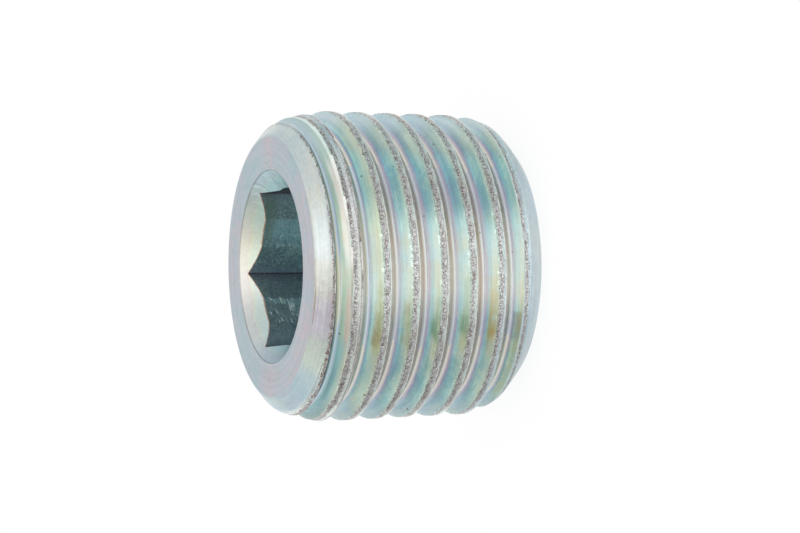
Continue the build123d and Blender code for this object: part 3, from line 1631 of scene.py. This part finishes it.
@dataclass(frozen=True)
class SinkFinish(Finish):
    """The countersink, drilled with swirling chatter."""

    name: str = "zinc_countersink"
    roughness: float = 0.33
    grain: float = 0.18
    bump: float = 0.002
    sweep: float = 0.9
    straight_radius: float = 2.86
    pit_share: float = 0.12
    round_stops = [
        (0.0, tint(178, 203, 218)),
        (0.12, tint(226, 240, 240)),
        (0.4, tint(232, 234, 230)),
        (0.68, tint(232, 233, 218)),
        (0.86, tint(208, 224, 216)),
        (1.0, tint(200, 230, 238)),
    ]
    pearl_stops = [
        (0.1, tint(255, 249, 249)),
        (0.4, tint(252, 242, 243)),
        (0.6, tint(253, 253, 240)),
        (0.9, tint(242, 253, 250)),
    ]

    def paint(self, graph: Graph, place: Place) -> Surface:
        """Builds the pearly tints, the drill's slanting strokes and the brown edge of the socket.

        Args:
            graph: The material's tree.
            place: Where a point lies on the plug.

        Returns:
            Colour, roughness, and height in units of the bump distance.
        """
        patch = graph.noise(place.millimetres, 0.9, 3, 0.6, 9.0)
        mottle = graph.noise(place.millimetres, 9.0, 4, 0.8, 2.0)
        stroke = self._strokes(graph, place)
        colour = graph.ramp(place.rise * 0.5 + 0.5, self.round_stops)
        pearl = graph.ramp(place.radius.spread(3.1, 2.75) + (patch - 0.5) * 1.2, self.pearl_stops)
        colour = graph.shade(colour, graph.mix(0.8, tint(250, 252, 248), pearl))
        depth = place.rise.spread(0.6, 0.85) * 1.1 + 0.08
        colour = graph.shade(colour, (stroke - 0.52) * depth + (mottle - 0.5) * 0.36 + 1.0)
        rim = place.radius.band(3.17, 0.018, 0.02)
        colour = graph.mix(rim * 0.5, colour, tint(132, 128, 146))
        edge = SocketEdge.use(graph, Millimetres=place.millimetres, Radius=place.radius)["Distance"]
        edge = (edge + (mottle - 0.5) * 0.05).spread(0.03, 0.012)
        edge *= abs(place.around).spread(0.331, 0.337)
        rust = graph.mix(place.rise.spread(0.5, 0.8), tint(164, 104, 66), tint(196, 96, 70))
        colour = graph.mix(edge * 0.8, colour, rust)
        colour = self.pitted(graph, place, colour)
        return colour, self.roughness, stroke + mottle

    def _strokes(self, graph: Graph, place: Place) -> Field:
        """Gives noise drawn out along the drill's slanting strokes.

        Args:
            graph: The material's tree.
            place: Where a point lies on the plug.

        Returns:
            The noise, round 0.5.
        """
        out = place.radius - self.straight_radius
        spiral = place.around * (2 * math.pi) - out * out * self.sweep
        swept = graph.join(graph.math("COSINE", spiral), graph.math("SINE", spiral), place.radius * 0.12)
        return graph.noise(swept, 17.0, 3, 0.7)


@dataclass(frozen=True)
class WallFinish(Finish):
    """The broached hexagon and the drilled hole: teal under painted shade, speckled, with drill marks on
    the scallops.
    """

    name: str = "zinc_wall"
    roughness: float = 0.36
    grain: float = 0.3
    bump: float = 0.004
    drilled_radius: float = TurnedBlank.pilot_radius + 0.006
    corner_radius: float = TurnedBlank.hex_across_flats / math.sqrt(3)
    slant: float = 0.24

    def paint(self, graph: Graph, place: Place) -> Surface:
        """Builds the speckle, the drill marks, and painted shade at the mouth, on the top facet and in the
        corners.

        Args:
            graph: The material's tree.
            place: Where a point lies on the plug.

        Returns:
            Colour, roughness, and height in units of the bump distance.
        """
        mark = graph.noise(place.turned, 2.0, 3, 0.8, 3.0)
        speck = graph.noise(place.millimetres, 13, 3, 0.8, 6.0)
        drilled = place.radius.spread(self.drilled_radius + 0.01, self.drilled_radius)
        colour = self._teal(graph, place, drilled)
        colour = graph.mix(speck.spread(0.56, 0.68) * 0.9, colour, tint(250, 255, 248))
        colour = graph.shade(colour, speck * 1.7 + 0.12)
        bright = self._scratches(graph, place, drilled)
        colour = graph.mix(bright, colour, WHITE)
        # Painted shade, greenish, at the top of the walls on their upper side.
        mouth = place.height.spread(6.9, 7.3) * place.rise.spread(0.1, 0.5)
        colour = graph.mix(mouth * 0.5, colour, tint(150, 164, 140))
        # Painted shade towards the hexagon's corners.
        near = place.radius.spread(2.72, self.corner_radius)
        colour = graph.mix(near * 0.5, colour, tint(162, 156, 180))
        # Painted shade over the top facet.
        painted_shade_top_facet = place.rise.spread(0.84, 0.9) * place.radius.spread(2.4, 2.5)
        colour = graph.mix(painted_shade_top_facet * 0.8, colour, tint(96, 84, 94))
        # Painted shade: a dark reddish line in each corner.
        corner = place.radius.spread(self.corner_radius - 0.022, self.corner_radius - 0.01)
        colour = graph.mix(corner * 0.6, colour, tint(110, 70, 72))
        return colour, self.roughness + bright * 0.3, mark + speck + bright * 2.4

    @staticmethod
    def _teal(graph: Graph, place: Place, drilled: Field) -> Field:
        """Paints the hexagon's flats and the drilled scallops, with painted shade that leaves them palest
        underneath.

        Args:
            graph: The material's tree.
            place: Where a point lies on the plug.
            drilled: 1 on the scallops of the drilled hole.

        Returns:
            The colour under the speckle.
        """
        flats = graph.mix(place.rise.spread(0.4, 0.55), tint(164, 184, 190), tint(186, 202, 202))
        flats = graph.mix(place.rise.spread(-0.1, 0.1), tint(214, 239, 246), flats)
        below = place.rise.spread(0.0, -0.2)
        arc = graph.mix(below, tint(178, 208, 214), tint(214, 248, 252))
        hollow = graph.mix(below, tint(208, 242, 250), tint(222, 252, 255))
        arc = graph.mix(abs(place.rise).spread(0.36, 0.5), arc, hollow)
        green = graph.noise(place.millimetres, 1.2, 3, 0.6, 4.0).spread(0.5, 0.66)
        return graph.mix(green * 0.5, graph.mix(drilled, flats, arc), tint(216, 240, 226))

    def _scratches(self, graph: Graph, place: Place, drilled: Field) -> Field:
        """Gives the mask of the bright drill marks, which slant on the lower scallop.

        Args:
            graph: The material's tree.
            place: Where a point lies on the plug.
            drilled: 1 on the scallops of the drilled hole.

        Returns:
            The mask.
        """
        below = place.rise.spread(0.0, -0.2)
        across = place.rise * self.drilled_radius
        leant = place.height - across * below * self.slant
        scratch = graph.noise(graph.join(leant * 17.0, across * 2.0, 0.0), 1.0, 2, 0.6, 7.0)
        short = graph.noise(place.millimetres, 3.5, 2, 0.6, 1.0)
        bright = scratch.spread(0.46, 0.72) * short.spread(0.42, 0.56)
        return bright * (drilled * (below * 0.45 + 0.3) + 0.08)


@dataclass
class Plug:
    """The whole plug: blank, socket and thread as one skin.

    Attributes:
        thread: The thread.
        edge_slack: How near the edge of a crest land still counts as that edge, in millimetres.
        smooth_angle: Edges sharper than this stay sharp.
    """

    thread: TaperThread = field(default_factory=TaperThread)
    edge_slack: float = 0.012
    smooth_angle: float = math.radians(28)

    def shape(self) -> bpy.types.Object:
        """Cuts the thread and the socket into the blank.

        Returns:
            The plug, in metres.
        """
        blank = TurnedBlank(self.thread)
        body, hexagon = blank.turn(), blank.broach()
        self._cut(body, hexagon, "DIFFERENCE")
        rod = self.thread.rod()
        log.info("rod %d faces, blank %d faces", len(rod.data.polygons), len(body.data.polygons))
        self._cut(rod, body, "INTERSECT")
        rod.name = "plug_body"
        rod.data.materials.clear()
        zones = self._zones(rod, blank)
        self._tear_crests(rod, blank)
        Bench.hold(rod)
        rod.scale = (MM, MM, MM)
        bpy.ops.object.transform_apply(location=True, rotation=True, scale=True)
        self._sharpen_borders(rod, zones)
        bpy.ops.object.shade_smooth_by_angle(angle=self.smooth_angle, keep_sharp_edges=True)
        rod.data.polygons.foreach_set("material_index", zones)
        return rod

    @staticmethod
    def _sharpen_borders(obj: bpy.types.Object, zones: np.ndarray) -> None:
        """Marks the edges between torn crests and smooth metal as sharp.

        Args:
            obj: The plug.
            zones: A material slot for each face.
        """
        mesh = obj.data
        loops = np.empty(len(mesh.loops), np.int32)
        mesh.loops.foreach_get("edge_index", loops)
        sizes = np.empty(len(mesh.polygons), np.int32)
        mesh.polygons.foreach_get("loop_total", sizes)
        torn = np.repeat(zones == Zone.CREST.value, sizes)
        count = np.bincount(loops, weights=torn, minlength=len(mesh.edges))
        mesh.edges.foreach_set("use_edge_sharp", count == 1)

    def _place(self, points: np.ndarray) -> tuple[np.ndarray, np.ndarray, np.ndarray, np.ndarray]:
        """Gives radius, angle, height and groove phase of points.

        Args:
            points: Points in millimetres.

        Returns:
            Radius, angle in radians, height, and height from the middle of the nearest groove turn.
        """
        radius = np.hypot(points[:, 0], points[:, 1])
        angle = np.arctan2(points[:, 1], points[:, 0])
        height = points[:, 2]
        along = height - (self.thread.length - self.thread.groove_drop)
        along = along / self.thread.pitch - angle / (2 * math.pi)
        return radius, angle, height, (along - np.round(along)) * self.thread.pitch

    def _zones(self, obj: bpy.types.Object, blank: TurnedBlank) -> np.ndarray:
        """Sorts the faces by how their surface was made.

        Args:
            obj: The plug, in millimetres.
            blank: The blank it was cut from.

        Returns:
            A material slot for each face.
        """
        count = len(obj.data.polygons)
        centre, normal = np.empty(count * 3), np.empty(count * 3)
        obj.data.polygons.foreach_get("center", centre)
        obj.data.polygons.foreach_get("normal", normal)
        centre, normal = centre.reshape(-1, 3), normal.reshape(-1, 3)
        radius, _, height, phase = self._place(centre)
        length = self.thread.length
        nominal = self.thread.half_mouth()
        mouth = nominal - (self.thread.major(height) - radius) * math.tan(self.thread.half_flank)
        on_land = (np.abs(phase) > mouth + self.edge_slack) | (height > length - 0.1)
        on_land |= height < blank.small_chamfer[1] + 0.05
        zones = np.full(count, Zone.GROOVE.value)
        zones[on_land] = Zone.CHAMFER.value
        lip = np.where(phase > 0, phase - mouth, 1)
        torn = (np.abs(phase) > nominal - 0.02) & (lip > 0)
        torn &= (height > blank.small_chamfer[1]) & (height < length - blank.socket_chamfer[1] - 0.02)
        zones[on_land & torn] = Zone.CREST.value
        zones[~on_land & (phase > 0.04) & (height > blank.small_lead_height)] = Zone.REAR.value
        inner = (radius < blank.countersink_radius) & (height > 0.5)
        zones[inner] = Zone.WALL.value
        zones[inner & (normal[:, 2] > 0.5) & (height > length - 1)] = Zone.COUNTERSINK.value
        flat = np.abs(normal[:, 2]) > 0.97
        zones[flat & ((height > length - 0.01) | (height < 0.01))] = Zone.FACE.value
        return zones.astype(np.int32)

    def _tear_crests(self, obj: bpy.types.Object, blank: TurnedBlank) -> None:
        """Roughens the crest lands and frays their socket-side edges, always inwards.

        Args:
            obj: The plug, in millimetres.
            blank: The blank it was cut from.
        """
        points = Bench.coordinates(obj)
        radius, angle, height, phase = self._place(points)
        length = self.thread.length
        nominal = self.thread.half_mouth()
        cut = (self.thread.major(height) - radius) * math.tan(self.thread.half_flank)
        lip = np.abs(phase) - nominal + cut
        land = (blank.radius_at(height) - radius < 0.01) & (lip > -0.01) & (radius > 4.3)
        rear = (phase > 0) & (lip < 0.1) & (height > length - 1.5)
        land &= (np.abs(phase) > nominal - self.edge_slack) | rear
        land &= (height > blank.small_chamfer[1]) & ((height < length - blank.socket_chamfer[1]) | rear)
        land &= height < length - 0.15
        for i in np.flatnonzero(land):
            spot = Vector(points[i])
            fine = noise.noise(spot * 17)
            coarse = noise.noise(spot * 6 + Vector((9, 0, 0)))
            fray = noise.noise(spot * 9 + Vector((0, 5, 0)))
            depth = 0.01 + 0.016 * fine + 0.008 * coarse
            on_edge = abs(lip[i]) < self.edge_slack
            if on_edge and phase[i] < 0:
                depth += 0.01 + 0.02 * max(fray, 0)
                points[i, 2] -= max(0.006 + 0.045 * fray + 0.02 * fine, 0)
            elif on_edge:
                depth = 0.004 + 0.01 * fine
                points[i, 2] += max(0.03 * fray + 0.015 * fine, 0)
            depth = max(depth, 0.0)
            points[i, 0] -= depth * math.cos(angle[i])
            points[i, 1] -= depth * math.sin(angle[i])
        Bench.move(obj, points)

    @staticmethod
    def dress(obj: bpy.types.Object) -> None:
        """Gives each zone its finish, in the order of the zones.

        Args:
            obj: The plug.
        """
        finishes = {
            Zone.FACE: FaceFinish(),
            Zone.CHAMFER: ChamferFinish(),
            Zone.CREST: CrestFinish(),
            Zone.GROOVE: GrooveFinish(),
            Zone.REAR: RearFinish(),
            Zone.COUNTERSINK: SinkFinish(),
            Zone.WALL: WallFinish(),
        }
        slots = np.empty(len(obj.data.polygons), np.int32)
        obj.data.polygons.foreach_get("material_index", slots)
        for zone in Zone:
            obj.data.materials.append(finishes[zone].material())
        obj.data.polygons.foreach_set("material_index", slots)
        obj.data.update()

    @staticmethod
    def _cut(obj: bpy.types.Object, tool: bpy.types.Object, operation: str) -> None:
        """Applies an exact boolean and removes its tool."""
        Bench.apply(obj, "BOOLEAN", object=tool, operation=operation, solver="EXACT", use_self=False)
        bpy.data.objects.remove(tool)


@dataclass
class Studio:
    """Floor, light and camera. None of it is part of the plug.

    Attributes:
        lens: Focal length in millimetres, for the sensor's width.
        sensor: The sensor's width in millimetres.
        turn: How far the view is turned round the plug's axis, from looking along -X.
        yaw: Slope of the view in radians, negative where it looks down.
        roll: Roll round the view in radians, from the plug's axis lying across the picture.
        offset: Middle of the socket's face from the camera, in millimetres to the right, down and ahead.
    """

    lens: float = 262.557
    sensor: float = 36.0
    turn: float = math.radians(-4.3487)
    yaw: float = -0.3582697
    roll: float = -0.0100776
    offset: tuple[float, float, float] = (-4.2432, 0.0048, 190.4274)

    @staticmethod
    def floor() -> bpy.types.Object:
        """Lays the pale floor under the plug. Seen directly or in the metal it is white, with its shadow.

        Returns:
            The floor.
        """
        Bench.clear()
        bpy.ops.mesh.primitive_circle_add(vertices=96, radius=1.5, fill_type="NGON")
        obj = bpy.context.object
        obj.name = "studio_floor"
        material = bpy.data.materials.new("floor_pale")
        material.use_nodes = True
        graph = Graph(material.node_tree)
        plain = material.node_tree.nodes["Principled BSDF"]
        plain.inputs["Base Color"].default_value = grey(0.8)
        plain.inputs["Roughness"].default_value = 0.9
        glow = graph.add("ShaderNodeEmission", WHITE, 0.9)
        shaded = graph.add("ShaderNodeBsdfDiffuse", grey(0.14))
        seen = graph.add("ShaderNodeAddShader", glow, shaded)
        path = graph.node("ShaderNodeLightPath").outputs
        camera, glossy, through = (
            Field(graph, path[f"Is {kind} Ray"]) for kind in ("Camera", "Glossy", "Transmission")
        )
        direct = graph.math("MAXIMUM", graph.math("MAXIMUM", camera, glossy), through)
        choose = graph.add("ShaderNodeMixShader", direct, Field(graph, plain.outputs[0]), seen)
        graph.feed(material.node_tree.nodes["Material Output"].inputs["Surface"], choose)
        obj.data.materials.append(material)
        return obj

    def camera(self) -> bpy.types.Object:
        """Places the camera and makes it the scene's own.

        Returns:
            The camera.
        """
        spin = Matrix.Rotation(self.turn, 3, "Z")
        right = Vector((-math.sin(self.yaw), 0, -math.cos(self.yaw)))
        down = Vector((0, -1, 0))
        ahead = Vector((-math.cos(self.yaw), 0, math.sin(self.yaw)))
        image_right = math.cos(self.roll) * right - math.sin(self.roll) * down
        image_down = math.sin(self.roll) * right + math.cos(self.roll) * down
        columns = Matrix((spin @ image_right, spin @ -image_down, spin @ -ahead)).transposed()
        data = bpy.data.cameras.new("studio_camera")
        data.lens = self.lens
        data.sensor_width = self.sensor
        data.clip_start = 0.01
        data.clip_end = 10
        obj = bpy.data.objects.new("studio_camera", data)
        bpy.context.collection.objects.link(obj)
        aside, under, away = self.offset
        place = -(image_right * aside + image_down * under + ahead * away)
        place = spin @ place + Vector((0, 0, TaperThread.length))
        obj.matrix_world = Matrix.Translation(place * MM) @ columns.to_4x4()
        bpy.context.scene.camera = obj
        log.info("camera at %s", place)
        return obj

    def light(self) -> None:
        """Sets the soft world and two large lamps, one overhead and one beside the camera."""
        world = bpy.data.worlds.new("studio")
        bpy.context.scene.world = world
        world.use_nodes = True
        graph = Graph(world.node_tree)
        _, _, up = graph.split(graph.add("ShaderNodeTexCoord", output="Generated"))
        stops = [(0.0, grey(0.74)), (0.4, grey(0.7)), (0.75, grey(0.66)), (1.0, grey(0.85))]
        level = graph.ramp(up.spread(0.0, 1.0, "LINEAR"), stops)
        graph.feed(world.node_tree.nodes["Background"].inputs["Color"], level)
        self._lamp("studio_top", (0.14, 0.03, 0.5), 0.34, 0.42)
        self._lamp("studio_front", (0.42, -0.1, 0.3), 0.3, 0.35)

    @staticmethod
    def _lamp(name: str, place: tuple[float, float, float], size: float, level: float) -> None:
        """Adds a square lamp that faces the plug.

        Args:
            name: The lamp's name.
            place: Its middle, in metres.
            size: Its side.
            level: How bright its surface is, where 1 is white.
        """
        data = bpy.data.lights.new(name, "AREA")
        data.shape = "SQUARE"
        data.size = size
        data.energy = level * math.pi * size * size
        obj = bpy.data.objects.new(name, data)
        bpy.context.collection.objects.link(obj)
        obj.location = place
        obj.rotation_euler = Vector(place).to_track_quat("Z", "Y").to_euler()
        obj.visible_camera = False


def main() -> None:
    """Builds the plug and its studio."""
    logging.basicConfig(level=logging.INFO, format="%(name)s: %(message)s")
    bpy.context.scene.view_settings.view_transform = "Standard"
    plug = Plug()
    body = plug.shape()
    log.info("plug body: %d faces", len(body.data.polygons))
    plug.dress(body)
    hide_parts("socket_plug")
    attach(body, "root")
    studio = Studio()
    studio.floor()
    studio.camera()
    studio.light()


if __name__ == "__main__":
    main()
